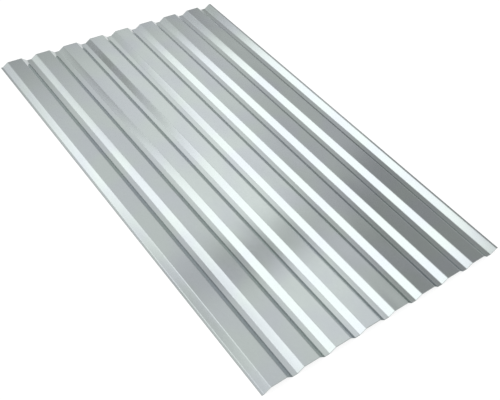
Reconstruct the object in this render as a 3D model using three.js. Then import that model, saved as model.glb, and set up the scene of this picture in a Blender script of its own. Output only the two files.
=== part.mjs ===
// A trapezoidal corrugated sheet, roll-formed in one piece from galvanised steel coil.
//
// Sizes are in millimetres. +X runs across the ribs, +Y runs along them and +Z is up.
// The sheet lies with its wide crests on top. The origin is under the middle of its
// outline, at the level that its valleys rest on.

import * as THREE from "three";

// Driving dimensions. A flat's width and a web's run are measured between the sharp
// corners that the section would have without its bend radii.
const SHEET_LENGTH = 2000;
const SHEET_THICKNESS = 0.7;
const RIB_COUNT = 8;
const CREST_WIDTH = 66;
const VALLEY_WIDTH = 21.5;
const WEB_RUN = 25; // sideways distance that a sloping web covers
const PROFILE_DEPTH = 19; // from a valley's upper face to a crest's upper face
const INSIDE_BEND_RADIUS = 4;
const LOW_LIP_WIDTH = 9; // narrow flat outside the first web, level with the valleys
const HIGH_LIP_WIDTH = 9; // narrow flat outside the last web, level with the crests

const CHORDS_PER_BEND = 6;

const GALVANISED_STEEL = new THREE.MeshStandardMaterial({
  name: "galvanised_steel",
  color: 0xb9c1c2,
  roughness: 0.32,
  metalness: 0.95,
});

// The corners of the line midway through the sheet, from the low lip's free edge to the
// high lip's free edge. One rib is a rising web, a crest, a falling web and a valley.
function middleLineCorners() {
  const corners = [];
  const ribPitch = CREST_WIDTH + VALLEY_WIDTH + 2 * WEB_RUN;
  const outlineWidth =
    LOW_LIP_WIDTH + RIB_COUNT * ribPitch + WEB_RUN + HIGH_LIP_WIDTH;
  const valleyLevel = SHEET_THICKNESS / 2;
  const crestLevel = valleyLevel + PROFILE_DEPTH;
  let across = -outlineWidth / 2;

  const cornerAfter = (run, level) => {
    across += run;
    corners.push(new THREE.Vector2(across, level));
  };

  cornerAfter(0, valleyLevel);
  cornerAfter(LOW_LIP_WIDTH, valleyLevel);
  for (let rib = 0; rib < RIB_COUNT; rib += 1) {
    cornerAfter(WEB_RUN, crestLevel);
    cornerAfter(CREST_WIDTH, crestLevel);
    cornerAfter(WEB_RUN, valleyLevel);
    cornerAfter(VALLEY_WIDTH, valleyLevel);
  }
  cornerAfter(WEB_RUN, crestLevel);
  cornerAfter(HIGH_LIP_WIDTH, crestLevel);
  return corners;
}

const leftOf = (direction) => new THREE.Vector2(-direction.y, direction.x);

const directionFrom = (start, end) => end.clone().sub(start).normalize();

// One bend of a face as a row of points. The arcs of both faces share a centre, which
// lies on the side that the sheet turns towards, so the bend keeps the sheet's thickness.
function bendPoints(corner, arriving, leaving, offset) {
  const turn = leaving.angle() - arriving.angle();
  const turnAngle = Math.atan2(Math.sin(turn), Math.cos(turn));
  const turnSide = Math.sign(turnAngle); // 1 for a bend to the left, -1 to the right
  const middleRadius = INSIDE_BEND_RADIUS + SHEET_THICKNESS / 2;
  const tangentLength = middleRadius * Math.tan(Math.abs(turnAngle) / 2);
  const centre = corner
    .clone()
    .addScaledVector(arriving, -tangentLength)
    .addScaledVector(leftOf(arriving), turnSide * middleRadius);
  const faceRadius = middleRadius - turnSide * offset;
  const startAngle = arriving.angle() - (turnSide * Math.PI) / 2;

  const points = [];
  for (let chord = 0; chord <= CHORDS_PER_BEND; chord += 1) {
    const angle = startAngle + (turnAngle * chord) / CHORDS_PER_BEND;
    const spoke = new THREE.Vector2(Math.cos(angle), Math.sin(angle));
    points.push(centre.clone().addScaledVector(spoke, faceRadius));
  }
  return points;
}

// One face of the sheet as a row of points, at an offset from the middle line: half a
// thickness to the left of it is the upper face, and to the right the lower one.
function facePoints(corners, offset) {
  const last = corners.length - 1;
  const firstDirection = directionFrom(corners[0], corners[1]);
  const lastDirection = directionFrom(corners[last - 1], corners[last]);
  const points = [corners[0].clone().addScaledVector(leftOf(firstDirection), offset)];
  for (let i = 1; i < last; i += 1) {
    const arriving = directionFrom(corners[i - 1], corners[i]);
    const leaving = directionFrom(corners[i], corners[i + 1]);
    points.push(...bendPoints(corners[i], arriving, leaving, offset));
  }
  points.push(corners[last].clone().addScaledVector(leftOf(lastDirection), offset));
  return points;
}

function sheetSection() {
  const corners = middleLineCorners();
  const upperFace = facePoints(corners, SHEET_THICKNESS / 2);
  const lowerFace = facePoints(corners, -SHEET_THICKNESS / 2);
  return new THREE.Shape([...lowerFace, ...upperFace.reverse()]);
}

function corrugatedSheet() {
  const geometry = new THREE.ExtrudeGeometry(sheetSection(), {
    depth: SHEET_LENGTH,
    bevelEnabled: false,
  });
  const sheet = new THREE.Mesh(geometry, GALVANISED_STEEL);
  sheet.name = "corrugated_sheet";
  // The section's own height becomes +Z, and the extrusion runs towards -Y.
  sheet.rotation.x = Math.PI / 2;
  sheet.position.y = SHEET_LENGTH / 2;
  return sheet;
}

const part = new THREE.Group();
part.add(corrugatedSheet());

export default part;
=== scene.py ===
"""A trapezoidal corrugated sheet of galvanised steel on a pale studio floor."""

import math

import bmesh
import bpy
from mathutils import Euler, Matrix, Vector


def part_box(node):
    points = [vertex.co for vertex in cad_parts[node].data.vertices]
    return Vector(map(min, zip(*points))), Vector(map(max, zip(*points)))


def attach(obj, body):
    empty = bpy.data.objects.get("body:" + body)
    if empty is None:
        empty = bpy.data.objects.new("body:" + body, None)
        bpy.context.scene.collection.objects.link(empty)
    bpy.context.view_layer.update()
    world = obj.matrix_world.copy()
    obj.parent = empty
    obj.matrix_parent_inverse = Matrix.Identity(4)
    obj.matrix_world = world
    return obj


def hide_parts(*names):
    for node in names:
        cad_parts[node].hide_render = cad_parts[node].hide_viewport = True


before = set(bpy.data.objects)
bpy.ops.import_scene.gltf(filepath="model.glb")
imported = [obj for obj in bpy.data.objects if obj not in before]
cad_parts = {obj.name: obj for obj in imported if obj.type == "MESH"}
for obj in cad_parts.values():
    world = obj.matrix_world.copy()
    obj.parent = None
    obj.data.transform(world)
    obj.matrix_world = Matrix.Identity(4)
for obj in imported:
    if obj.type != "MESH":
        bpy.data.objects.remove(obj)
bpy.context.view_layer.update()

bl_info = {
    "name": "Corrugated Sheet",
    "version": (1, 0, 0),
    "blender": (4, 5, 0),
    "location": "3D View > Sidebar > Corrugated Sheet",
    "description": "Forms a galvanised trapezoidal sheet and sets a plain studio round it",
    "category": "Add Mesh",
}

MM = 0.001
# Heights or corners no further apart than this count as the same.
TOLERANCE = 0.01 * MM
SHEET_NODE = "corrugated_sheet"
BODY = "root"

# The sheet's box in the frame: X runs across the ribs, Y along them, and Z is up.
SHEET_LOW, SHEET_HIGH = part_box(SHEET_NODE)
SHEET_SIZE = SHEET_HIGH - SHEET_LOW


def linear(hex_colour):
    """A linear RGBA colour from an sRGB hex value such as #C8CED0."""
    channels = [int(hex_colour[i:i + 2], 16) / 255 for i in (1, 3, 5)]
    curved = [c / 12.92 if c <= 0.04045 else ((c + 0.055) / 1.055) ** 2.4 for c in channels]
    return (*curved, 1.0)


def scaled(colour, level):
    """A linear RGBA colour made lighter or darker, with its alpha kept."""
    return (*(channel * level for channel in colour[:3]), 1.0)


def add_node(tree, kind, inputs=None, **settings):
    """Adds a node with its settings. An input is a value, or an output socket to link from."""
    node = tree.nodes.new(kind)
    for name, value in settings.items():
        setattr(node, name, value)
    for key, value in (inputs or {}).items():
        if isinstance(value, bpy.types.NodeSocket):
            tree.links.new(value, node.inputs[key])
        else:
            node.inputs[key].default_value = value
    return node


# --- Sizes and colours ---------------------------------------------------------------------


class CorrugatedSheetSizes(bpy.types.PropertyGroup):
    """The section of the sheet. Its length, width and height come from the frame."""

    rib_count: bpy.props.IntProperty(
        name="Ribs",
        description="Whole ribs across the sheet",
        default=8,
        min=1,
    )
    crest_width: bpy.props.FloatProperty(
        name="Crest width",
        description="Width of a crest between the sharp corners of its bends",
        default=66 * MM,
        unit="LENGTH",
    )
    valley_width: bpy.props.FloatProperty(
        name="Valley width",
        description="Width of a valley between the sharp corners of its bends",
        default=21.5 * MM,
        unit="LENGTH",
    )
    web_run: bpy.props.FloatProperty(
        name="Web run",
        description="Sideways distance that a sloping web covers",
        default=25 * MM,
        unit="LENGTH",
    )
    profile_depth: bpy.props.FloatProperty(
        name="Profile depth",
        description="Height from a valley's upper face to a crest's upper face",
        default=19 * MM,
        unit="LENGTH",
    )
    low_lip_width: bpy.props.FloatProperty(
        name="Low lip width",
        description="Narrow flat outside the first web, level with the valleys",
        default=9 * MM,
        unit="LENGTH",
    )
    inside_bend_radius: bpy.props.FloatProperty(
        name="Bend radius",
        description="Radius on the inside of every bend",
        default=4 * MM,
        unit="LENGTH",
    )
    waviness: bpy.props.FloatProperty(
        name="Waviness",
        description="Most that the middle of a crest sinks, as thin sheet does",
        default=0.2 * MM,
        unit="LENGTH",
    )


class CorrugatedSheetFinish(bpy.types.PropertyGroup):
    """The colours and the gloss of the zinc."""

    zinc_colour: bpy.props.FloatVectorProperty(
        name="Zinc",
        description="Colour of the bright zinc coating",
        subtype="COLOR",
        size=4,
        default=linear("#B6BEBC"),
    )
    cloud_colour: bpy.props.FloatVectorProperty(
        name="Cloud",
        description="Colour of the slightly duller patches of the coating",
        subtype="COLOR",
        size=4,
        default=linear("#B5BBBE"),
    )
    edge_colour: bpy.props.FloatVectorProperty(
        name="Sheared edge",
        description="Colour of the bare steel on the sheet's cut edges",
        subtype="COLOR",
        size=4,
        default=linear("#AEB3B3"),
    )
    roughness: bpy.props.FloatProperty(
        name="Roughness",
        description="Roughness of the bright zinc",
        default=0.08,
        min=0.0,
        max=1.0,
        subtype="FACTOR",
    )


class CorrugatedSheetCamera(bpy.types.PropertyGroup):
    """Where the camera stands and how it looks at the sheet."""

    lens: bpy.props.FloatProperty(
        name="Lens",
        description="Focal length for a sensor 36 mm wide",
        default=53.72,
        subtype="DISTANCE_CAMERA",
    )
    distance: bpy.props.FloatProperty(
        name="Distance",
        description="From the camera to the point on the floor that it looks at",
        default=2.973,
        unit="LENGTH",
    )
    azimuth: bpy.props.FloatProperty(
        name="Azimuth",
        description="Where the camera stands: 0 is off the near end, and less is to its left",
        default=math.radians(-42.88),
        subtype="ANGLE",
    )
    elevation: bpy.props.FloatProperty(
        name="Elevation",
        description="Height of the camera above the horizon",
        default=math.radians(44.73),
        subtype="ANGLE",
    )
    roll: bpy.props.FloatProperty(
        name="Roll",
        description="Turn of the camera about its own axis",
        default=math.radians(8.38),
        subtype="ANGLE",
    )
    aim: bpy.props.FloatVectorProperty(
        name="Aim",
        description="The point on the floor that the camera looks at",
        subtype="TRANSLATION",
        size=3,
        default=(-0.0296, -0.3118, 0.0),
    )
    shift: bpy.props.FloatProperty(
        name="Shift",
        description="Sideways shift of the lens, as a share of the frame's width",
        default=-0.036,
    )


# --- The sheet -----------------------------------------------------------------------------


def deselect_everything():
    if bpy.context.object and bpy.context.object.mode != "OBJECT":
        bpy.ops.object.mode_set(mode="OBJECT")
    bpy.ops.object.select_all(action="DESELECT")


def select_edges(piece, wanted):
    """Selects, in edit mode, just the edges for which wanted(edge) is true."""
    bpy.ops.mesh.select_all(action="DESELECT")
    edit_mesh = bmesh.from_edit_mesh(piece.data)
    for edge in edit_mesh.edges:
        if wanted(edge):
            edge.select_set(True)
    bmesh.update_edit_mesh(piece.data)


def runs_along_ribs(edge):
    start, end = (vertex.co for vertex in edge.verts)
    return abs(end.y - start.y) > abs(end.x - start.x)


def apply_modifier(piece, kind, **settings):
    modifier = piece.modifiers.new(kind.title(), kind)
    for name, value in settings.items():
        setattr(modifier, name, value)
    bpy.ops.object.modifier_apply(modifier=modifier.name)


def rib_pitch(sizes):
    return sizes.crest_width + sizes.valley_width + 2 * sizes.web_run


def sheet_thickness(sizes):
    return SHEET_SIZE.z - sizes.profile_depth


def extrude_section(sizes):
    """The sheet's middle surface with sharp corners, extruded flat by flat from the low lip."""
    ribs_width = sizes.low_lip_width + sizes.rib_count * rib_pitch(sizes) + sizes.web_run
    high_lip_width = SHEET_SIZE.x - ribs_width
    if high_lip_width <= 0 or sheet_thickness(sizes) <= 0:
        raise ValueError("the ribs do not fit in the sheet's box")

    deselect_everything()
    bpy.ops.mesh.primitive_plane_add(size=1.0)
    piece = bpy.context.object
    piece.name = "galvanised_sheet"
    piece.data.name = piece.name
    piece.scale = (sizes.low_lip_width, SHEET_SIZE.y, 1.0)
    piece.location = (
        SHEET_LOW.x + sizes.low_lip_width / 2,
        (SHEET_LOW.y + SHEET_HIGH.y) / 2,
        SHEET_LOW.z + sheet_thickness(sizes) / 2,
    )
    bpy.ops.object.transform_apply(location=True, rotation=True, scale=True)

    bpy.ops.object.mode_set(mode="EDIT")
    bpy.ops.mesh.select_mode(type="EDGE")
    lip_middle = SHEET_LOW.x + sizes.low_lip_width / 2
    select_edges(piece, lambda edge: all(v.co.x > lip_middle for v in edge.verts))
    rib = (
        (sizes.web_run, sizes.profile_depth),
        (sizes.crest_width, 0.0),
        (sizes.web_run, -sizes.profile_depth),
        (sizes.valley_width, 0.0),
    )
    last_web = (sizes.web_run, sizes.profile_depth)
    high_lip = (high_lip_width, 0.0)
    for across, up in (*(rib * sizes.rib_count), last_web, high_lip):
        bpy.ops.mesh.extrude_edges_move(TRANSFORM_OT_translate={"value": (across, 0.0, up)})
    return piece


def round_bends(piece, sizes):
    """Rounds every corner between two flats to the bend's radius."""
    slope = math.atan2(sizes.profile_depth, sizes.web_run)
    middle_radius = sizes.inside_bend_radius + sheet_thickness(sizes) / 2
    select_edges(piece, lambda edge: len(edge.link_faces) == 2)
    bpy.ops.mesh.bevel(
        offset_type="OFFSET",
        offset=middle_radius * math.tan(slope / 2),
        segments=8,
        profile=0.5,
        affect="EDGES",
    )


def divide_flats(piece, sizes):
    """Gives the flats enough faces to be wavy: across each one, then along the ribs."""
    cell_across = 9 * MM
    cell_along = 25 * MM
    # A bend takes a little off each side of its flats, and leaves more than this share.
    share_left = 0.8
    web_width = math.hypot(sizes.web_run, sizes.profile_depth)
    for width in (sizes.crest_width, sizes.valley_width, web_width):
        select_edges(
            piece,
            lambda edge: not runs_along_ribs(edge) and share_left < edge.calc_length() / width <= 1,
        )
        bpy.ops.mesh.subdivide(number_cuts=max(1, round(width / cell_across) - 1))
    select_edges(piece, runs_along_ribs)
    bpy.ops.mesh.subdivide(number_cuts=round(SHEET_SIZE.y / cell_along) - 1)


def make_flats_wavy(piece, sizes):
    """Sinks the crests and lifts the valleys by a slow, cloudy wave that fades at the bends."""
    wave_length = 140 * MM
    # The narrow valleys stay flatter than the crests.
    valley_waviness = sizes.waviness / 3
    valley_level = SHEET_LOW.z + sheet_thickness(sizes) / 2
    crest_level = valley_level + sizes.profile_depth
    first_web = SHEET_LOW.x + sizes.low_lip_width
    first_crest_middle = first_web + sizes.web_run + sizes.crest_width / 2
    first_valley_middle = first_crest_middle + rib_pitch(sizes) / 2
    flats = (
        ("crests", crest_level, first_crest_middle, sizes.crest_width, -sizes.waviness),
        ("valleys", valley_level, first_valley_middle, sizes.valley_width, valley_waviness),
    )
    for name, level, first_middle, width, rise in flats:
        group = piece.vertex_groups.new(name=name)
        for vertex in piece.data.vertices:
            ribs_off = (vertex.co.x - first_middle) / rib_pitch(sizes)
            off_middle = abs(ribs_off - round(ribs_off)) * rib_pitch(sizes) / (width / 2)
            if abs(vertex.co.z - level) < TOLERANCE and off_middle < 1:
                group.add([vertex.index], 1 - off_middle ** 2, "REPLACE")

        wave = bpy.data.textures.new(f"{name} wave", "CLOUDS")
        wave.noise_scale = wave_length
        wave.noise_depth = 1
        apply_modifier(
            piece,
            "DISPLACE",
            texture=wave,
            texture_coords="LOCAL",
            direction="Z",
            vertex_group=name,
            mid_level=0.0,
            strength=rise,
        )
        bpy.data.textures.remove(wave)
    piece.vertex_groups.clear()


def form_sheet(sizes, finish):
    piece = extrude_section(sizes)
    round_bends(piece, sizes)
    divide_flats(piece, sizes)
    bpy.ops.mesh.select_all(action="SELECT")
    bpy.ops.mesh.remove_doubles(threshold=TOLERANCE)
    bpy.ops.mesh.normals_make_consistent(inside=False)
    bpy.ops.object.mode_set(mode="OBJECT")
    make_flats_wavy(piece, sizes)

    piece.data.materials.append(hot_dip_zinc(finish))
    piece.data.materials.append(sheared_steel(finish))
    apply_modifier(
        piece,
        "SOLIDIFY",
        thickness=sheet_thickness(sizes),
        offset=0.0,
        use_even_offset=True,
        material_offset_rim=1,
    )
    bpy.ops.object.shade_smooth_by_angle(angle=math.radians(30))
    apply_modifier(piece, "WEIGHTED_NORMAL", keep_sharp=True)
    return piece


# --- Materials -----------------------------------------------------------------------------


def new_material(name):
    material = bpy.data.materials.new(name)
    material.use_nodes = True
    material.node_tree.nodes.clear()
    return material


def hot_dip_zinc(finish):
    """Hot-dip zinc on cold-rolled steel, smoothed by the rolls that formed it.

    It gives the eye a cool silver that shows the room as soft shapes. Faint crystals, fine
    lines along the rolling direction and slow cloudy patches break up the gloss when it is
    seen close, and a dull margin follows the cuts.
    """
    # Patches a hand or two wide, from the air knives that wipe the hot zinc.
    patch_size = 180 * MM
    crystal_size = 9 * MM
    # The real rolling lines are finer, and would not show.
    line_width = 1.5 * MM
    line_length = 300 * MM
    # The most that each of these adds to the roughness.
    patch_dulling = 0.015
    crystal_dulling = 0.015
    line_dulling = 0.02
    margin_dulling = 0.2
    # How high the crystals stand, where the rolling lines stand 1.
    crystal_relief = 0.25

    material = new_material("hot_dip_zinc")
    tree = material.node_tree
    place = add_node(tree, "ShaderNodeTexCoord").outputs["Object"]

    clouds = add_node(
        tree,
        "ShaderNodeTexNoise",
        {"Vector": place, "Scale": 1 / patch_size, "Detail": 2.0, "Roughness": 0.4},
    )
    cloud_share = add_node(
        tree,
        "ShaderNodeMapRange",
        {"Value": clouds.outputs["Fac"], "From Min": 0.38, "From Max": 0.64},
        interpolation_type="SMOOTHSTEP",
    )
    # Each crystal has its own tone and gloss.
    crystals = add_node(
        tree,
        "ShaderNodeTexVoronoi",
        {"Vector": place, "Scale": 1 / crystal_size},
    )
    crystal_tones = add_node(
        tree,
        "ShaderNodeSeparateColor",
        {"Color": crystals.outputs["Color"]},
    )
    drawn_out = add_node(
        tree,
        "ShaderNodeMapping",
        {"Vector": place, "Scale": (1 / line_width, 1 / line_length, 1 / line_width)},
    )
    rolling_lines = add_node(
        tree,
        "ShaderNodeTexNoise",
        {"Vector": drawn_out.outputs["Vector"], "Scale": 1.0, "Detail": 2.0},
    )

    zinc = add_node(
        tree,
        "ShaderNodeMix",
        {
            "Factor": cloud_share.outputs["Result"],
            "A": tuple(finish.zinc_colour),
            "B": tuple(finish.cloud_colour),
        },
        data_type="RGBA",
    )
    crystal_shade = add_node(
        tree,
        "ShaderNodeMapRange",
        {"Value": crystal_tones.outputs["Red"], "To Min": 0.985, "To Max": 1.0},
    )
    shaded_zinc = add_node(
        tree,
        "ShaderNodeVectorMath",
        {0: zinc.outputs["Result"], "Scale": crystal_shade.outputs["Result"]},
        operation="SCALE",
    )

    margin = dull_margin(tree, place)
    colour = add_node(
        tree,
        "ShaderNodeMix",
        {
            "Factor": margin,
            "A": shaded_zinc.outputs["Vector"],
            "B": tuple(finish.edge_colour),
        },
        data_type="RGBA",
    )

    cloudy_gloss = add_node(
        tree,
        "ShaderNodeMapRange",
        {
            "Value": cloud_share.outputs["Result"],
            "To Min": finish.roughness,
            "To Max": finish.roughness + patch_dulling,
        },
    )
    crystal_gloss = add_node(
        tree,
        "ShaderNodeMath",
        {
            0: crystal_tones.outputs["Green"],
            1: crystal_dulling,
            2: cloudy_gloss.outputs["Result"],
        },
        operation="MULTIPLY_ADD",
    )
    lined_gloss = add_node(
        tree,
        "ShaderNodeMath",
        {
            0: rolling_lines.outputs["Fac"],
            1: line_dulling,
            2: crystal_gloss.outputs["Value"],
        },
        operation="MULTIPLY_ADD",
    )
    roughness = add_node(
        tree,
        "ShaderNodeMath",
        {0: margin, 1: margin_dulling, 2: lined_gloss.outputs["Value"]},
        operation="MULTIPLY_ADD",
    )

    relief = add_node(
        tree,
        "ShaderNodeMath",
        {
            0: crystals.outputs["Distance"],
            1: crystal_relief,
            2: rolling_lines.outputs["Fac"],
        },
        operation="MULTIPLY_ADD",
    )
    bump = add_node(
        tree,
        "ShaderNodeBump",
        {"Height": relief.outputs["Value"], "Strength": 0.2, "Distance": 0.02 * MM},
    )

    steel = add_node(
        tree,
        "ShaderNodeBsdfPrincipled",
        {
            "Base Color": colour.outputs["Result"],
            "Metallic": 1.0,
            "Roughness": roughness.outputs["Value"],
            "Normal": bump.outputs["Normal"],
        },
    )
    add_node(tree, "ShaderNodeOutputMaterial", {"Surface": steel.outputs["BSDF"]})
    return material


def dull_margin(tree, place):
    """1 near the sheet's outline, where the shear rubbed the zinc dull."""
    # The zinc turns dull between these two distances from the outline.
    fade_start = 3.2 * MM
    fade_end = 1.8 * MM
    axes = add_node(tree, "ShaderNodeSeparateXYZ", {"Vector": place})
    shares = []
    for axis, half_size in (("X", SHEET_SIZE.x / 2), ("Y", SHEET_SIZE.y / 2)):
        off_middle = add_node(tree, "ShaderNodeMath", {0: axes.outputs[axis]}, operation="ABSOLUTE")
        share = add_node(
            tree,
            "ShaderNodeMapRange",
            {
                "Value": off_middle.outputs["Value"],
                "From Min": half_size - fade_start,
                "From Max": half_size - fade_end,
            },
            interpolation_type="SMOOTHSTEP",
        )
        shares.append(share.outputs["Result"])
    margin = add_node(tree, "ShaderNodeMath", {0: shares[0], 1: shares[1]}, operation="MAXIMUM")
    return margin.outputs["Value"]


def sheared_steel(finish):
    """The cut edge of the sheet: bare grey steel that the shear left finely torn."""
    tear_spacing = 0.6 * MM
    material = new_material("sheared_steel")
    tree = material.node_tree
    place = add_node(tree, "ShaderNodeTexCoord").outputs["Object"]
    tears = add_node(
        tree,
        "ShaderNodeTexNoise",
        {"Vector": place, "Scale": 1 / tear_spacing, "Detail": 2.0},
    )
    shade = add_node(
        tree,
        "ShaderNodeMapRange",
        {"Value": tears.outputs["Fac"], "To Min": 0.75, "To Max": 1.0},
    )
    colour = add_node(
        tree,
        "ShaderNodeVectorMath",
        {0: tuple(finish.edge_colour)[:3], "Scale": shade.outputs["Result"]},
        operation="SCALE",
    )
    bump = add_node(
        tree,
        "ShaderNodeBump",
        {"Height": tears.outputs["Fac"], "Strength": 0.5, "Distance": 0.05 * MM},
    )
    steel = add_node(
        tree,
        "ShaderNodeBsdfPrincipled",
        {
            "Base Color": colour.outputs["Vector"],
            "Metallic": 1.0,
            "Roughness": 0.45,
            "Normal": bump.outputs["Normal"],
        },
    )
    add_node(tree, "ShaderNodeOutputMaterial", {"Surface": steel.outputs["BSDF"]})
    return material


# --- The studio ----------------------------------------------------------------------------

# Soft cards and flags on a white dome, which the sheet mirrors. Angles are in degrees as seen
# from the sheet: azimuth runs from +Y towards +X, elevation up from the horizon, and tilt lifts
# the right-hand end. A level of 1 is white paper. Later rows lie over earlier ones.
DOME_LEVEL = 1.0
# Share of a card over which it fades into what lies behind it.
CRISP, HAZY = 0.3, 1.0
CARDS = (
    # name, azimuth, elevation, half width, half height, tilt, edge, level
    # The rising webs mirror the left side. The softbox whitens them. The near flag greys the
    # near end of the first, the far one the far ends of the second to the fifth, and the end
    # flag those of the fifth to the last.
    ("left softbox", -45, 41, 24, 14, -33, CRISP, 2.0),
    ("near left flag", -55, 33, 15, 5, -25, HAZY, 0.75),
    ("far left flag", -32, 30, 15, 5, -35, HAZY, 0.4),
    ("left end flag", -18, 35, 12, 18, 0, CRISP, 0.8),
    # The crests and valleys mirror the right side. The softbox brightens the middle ones, the
    # smudge crosses the near ends of the first five, and two flags grey the last four, most at
    # the near end.
    ("right softbox", 43, 46, 30, 6, 40, HAZY, 1.4),
    ("right smudge", 42, 49, 12, 3, -30, HAZY, 0.6),
    ("right flag", 60, 36, 25, 15, 32, CRISP, 0.72),
    ("near right flag", 63, 44, 12, 7, 32, CRISP, 0.45),
    # The first crests mirror the far flag at their far ends, and the last ones the low flag.
    # The last falling webs mirror the low flag too, at second hand.
    ("far flag", 15, 33, 12, 8, 0, HAZY, 0.5),
    ("low right flag", 45, 27, 45, 9, 0, HAZY, 0.1),
    # Narrow and tall, so that the bends on both sides of a rising web sweep across it and catch
    # a thin bright line.
    ("overhead strip", -10, 60, 5, 25, 0, HAZY, 3.0),
    # The webs mirror this one when the sheet is seen from a back corner.
    ("back softbox", 180, 50, 30, 20, 0, HAZY, 1.6),
)
# Equal low flags on the sides that hold no other low card, for the crests to mirror in other
# low views. The camera's frame reaches 15 degrees above its own level, and no card hangs lower
# than that.
LOW_FLAG_AZIMUTHS = (0, 90, 135, 180, -135, -90)
LOW_FLAGS = tuple(
    ("low flag", azimuth, 22, 20, 7, 0, HAZY, 0.3) for azimuth in LOW_FLAG_AZIMUTHS
)


def pale_floor():
    """Matt white board. Its own light keeps it white round the sheet's faint shadow."""
    floor_size = 60.0
    glow_level = 0.8
    board_colour = linear("#E6E6E6")
    # With the glow on top, this darker board looks as light as paper.
    glowing_board_colour = linear("#898989")

    deselect_everything()
    bpy.ops.mesh.primitive_plane_add(size=floor_size, location=(0.0, 0.0, SHEET_LOW.z))
    floor = bpy.context.object
    floor.name = "floor"
    bpy.ops.object.transform_apply(location=True, rotation=True, scale=True)

    material = new_material("white_board")
    tree = material.node_tree
    white = linear("#FFFFFF")
    board = add_node(tree, "ShaderNodeBsdfDiffuse", {"Color": board_colour})
    glowing_board = add_node(tree, "ShaderNodeBsdfDiffuse", {"Color": glowing_board_colour})
    glow = add_node(tree, "ShaderNodeEmission", {"Color": white, "Strength": glow_level})
    seen_board = add_node(
        tree,
        "ShaderNodeAddShader",
        {0: glowing_board.outputs["BSDF"], 1: glow.outputs["Emission"]},
    )
    mix = add_node(
        tree,
        "ShaderNodeMixShader",
        {0: seen_share(tree), 1: board.outputs["BSDF"], 2: seen_board.outputs["Shader"]},
    )
    add_node(tree, "ShaderNodeOutputMaterial", {"Surface": mix.outputs["Shader"]})
    floor.data.materials.append(material)


def seen_share(tree):
    """1 for rays that show a surface: from the camera, off a gloss or through a clear one."""
    light_path = add_node(tree, "ShaderNodeLightPath")
    camera_or_gloss = add_node(
        tree,
        "ShaderNodeMath",
        {0: light_path.outputs["Is Camera Ray"], 1: light_path.outputs["Is Glossy Ray"]},
        operation="MAXIMUM",
    )
    seen = add_node(
        tree,
        "ShaderNodeMath",
        {0: camera_or_gloss.outputs["Value"], 1: light_path.outputs["Is Transmission Ray"]},
        operation="MAXIMUM",
    )
    return seen.outputs["Value"]


def light_dome():
    """Lights everything, and is what the camera, the metal and the floor all see alike."""
    world = bpy.data.worlds.new("studio")
    world.use_nodes = True
    tree = world.node_tree
    tree.nodes.clear()
    direction = add_node(tree, "ShaderNodeTexCoord").outputs["Generated"]
    white = linear("#FFFFFF")
    light = scaled(white, DOME_LEVEL)
    for card in CARDS + LOW_FLAGS:
        name, azimuth, elevation, half_width, half_height, tilt, edge, level = card
        face_card = Euler((math.radians(90 + elevation), 0.0, math.radians(-azimuth))).to_matrix()
        face_card = face_card @ Matrix.Rotation(math.radians(tilt), 3, "Z")
        middle = face_card @ Vector((0.0, 0.0, -1.0))
        place = add_node(
            tree,
            "ShaderNodeMapping",
            {
                "Vector": direction,
                "Location": middle,
                "Rotation": face_card.to_euler(),
                "Scale": (math.radians(half_width), math.radians(half_height), 1.0),
            },
            vector_type="TEXTURE",
            label=name,
        )
        fade = add_node(
            tree,
            "ShaderNodeTexGradient",
            {"Vector": place.outputs["Vector"]},
            gradient_type="SPHERICAL",
        )
        share = add_node(
            tree,
            "ShaderNodeMapRange",
            {"Value": fade.outputs["Fac"], "From Max": edge},
            interpolation_type="SMOOTHSTEP",
        )
        blend = add_node(
            tree,
            "ShaderNodeMix",
            {
                "Factor": share.outputs["Result"],
                "A": light,
                "B": scaled(white, level),
            },
            data_type="RGBA",
        )
        light = blend.outputs["Result"]
    background = add_node(tree, "ShaderNodeBackground", {"Color": light, "Strength": 1.0})
    add_node(tree, "ShaderNodeOutputWorld", {"Surface": background.outputs["Background"]})
    bpy.context.scene.world = world


def place_camera(view):
    upright = Euler((math.pi / 2 - view.elevation, 0.0, view.azimuth)).to_matrix()
    turned = upright @ Matrix.Rotation(view.roll, 3, "Z")
    back = turned @ Vector((0.0, 0.0, 1.0))
    bpy.ops.object.camera_add(
        location=Vector(view.aim) + view.distance * back,
        rotation=turned.to_euler(),
    )
    camera = bpy.context.object
    camera.name = "camera"
    camera.data.sensor_fit = "HORIZONTAL"
    camera.data.sensor_width = 36.0
    camera.data.lens = view.lens
    camera.data.shift_x = view.shift
    bpy.context.scene.camera = camera


# --- Operators and panel -------------------------------------------------------------------


class CORRUGATEDSHEET_OT_form_sheet(bpy.types.Operator):
    """Form the galvanised sheet in place of the plain one"""

    bl_idname = "corrugated_sheet.form_sheet"
    bl_label = "Form Sheet"

    def execute(self, context):
        scene = context.scene
        piece = form_sheet(scene.corrugated_sheet_sizes, scene.corrugated_sheet_finish)
        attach(piece, BODY)
        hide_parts(SHEET_NODE)
        return {"FINISHED"}


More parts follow.
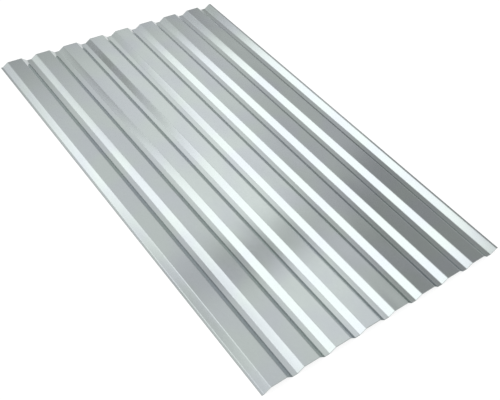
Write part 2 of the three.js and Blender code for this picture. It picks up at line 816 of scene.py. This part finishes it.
class CORRUGATEDSHEET_OT_set_studio(bpy.types.Operator):
    """Set the floor, the soft light and the camera"""

    bl_idname = "corrugated_sheet.set_studio"
    bl_label = "Set Studio"

    def execute(self, context):
        pale_floor()
        light_dome()
        place_camera(context.scene.corrugated_sheet_camera)
        context.scene.view_settings.view_transform = "Standard"
        return {"FINISHED"}


class CORRUGATEDSHEET_PT_panel(bpy.types.Panel):
    """Sizes, finish and camera, with the operators that use them"""

    bl_idname = "CORRUGATEDSHEET_PT_panel"
    bl_label = "Corrugated Sheet"
    bl_space_type = "VIEW_3D"
    bl_region_type = "UI"
    bl_category = "Corrugated Sheet"

    def draw(self, context):
        scene = context.scene
        groups = (
            ("Sheet", scene.corrugated_sheet_sizes),
            ("Finish", scene.corrugated_sheet_finish),
            ("Camera", scene.corrugated_sheet_camera),
        )
        for title, group in groups:
            box = self.layout.box()
            box.label(text=title)
            for name in group.__annotations__:
                box.prop(group, name)
        self.layout.operator(CORRUGATEDSHEET_OT_form_sheet.bl_idname)
        self.layout.operator(CORRUGATEDSHEET_OT_set_studio.bl_idname)


CLASSES = (
    CorrugatedSheetSizes,
    CorrugatedSheetFinish,
    CorrugatedSheetCamera,
    CORRUGATEDSHEET_OT_form_sheet,
    CORRUGATEDSHEET_OT_set_studio,
    CORRUGATEDSHEET_PT_panel,
)


def register():
    for cls in CLASSES:
        bpy.utils.register_class(cls)
    scene_type = bpy.types.Scene
    scene_type.corrugated_sheet_sizes = bpy.props.PointerProperty(type=CorrugatedSheetSizes)
    scene_type.corrugated_sheet_finish = bpy.props.PointerProperty(type=CorrugatedSheetFinish)
    scene_type.corrugated_sheet_camera = bpy.props.PointerProperty(type=CorrugatedSheetCamera)


def unregister():
    del bpy.types.Scene.corrugated_sheet_camera
    del bpy.types.Scene.corrugated_sheet_finish
    del bpy.types.Scene.corrugated_sheet_sizes
    for cls in reversed(CLASSES):
        bpy.utils.unregister_class(cls)


def main():
    register()
    bpy.ops.corrugated_sheet.form_sheet()
    bpy.ops.corrugated_sheet.set_studio()


if __name__ == "__main__":
    main()
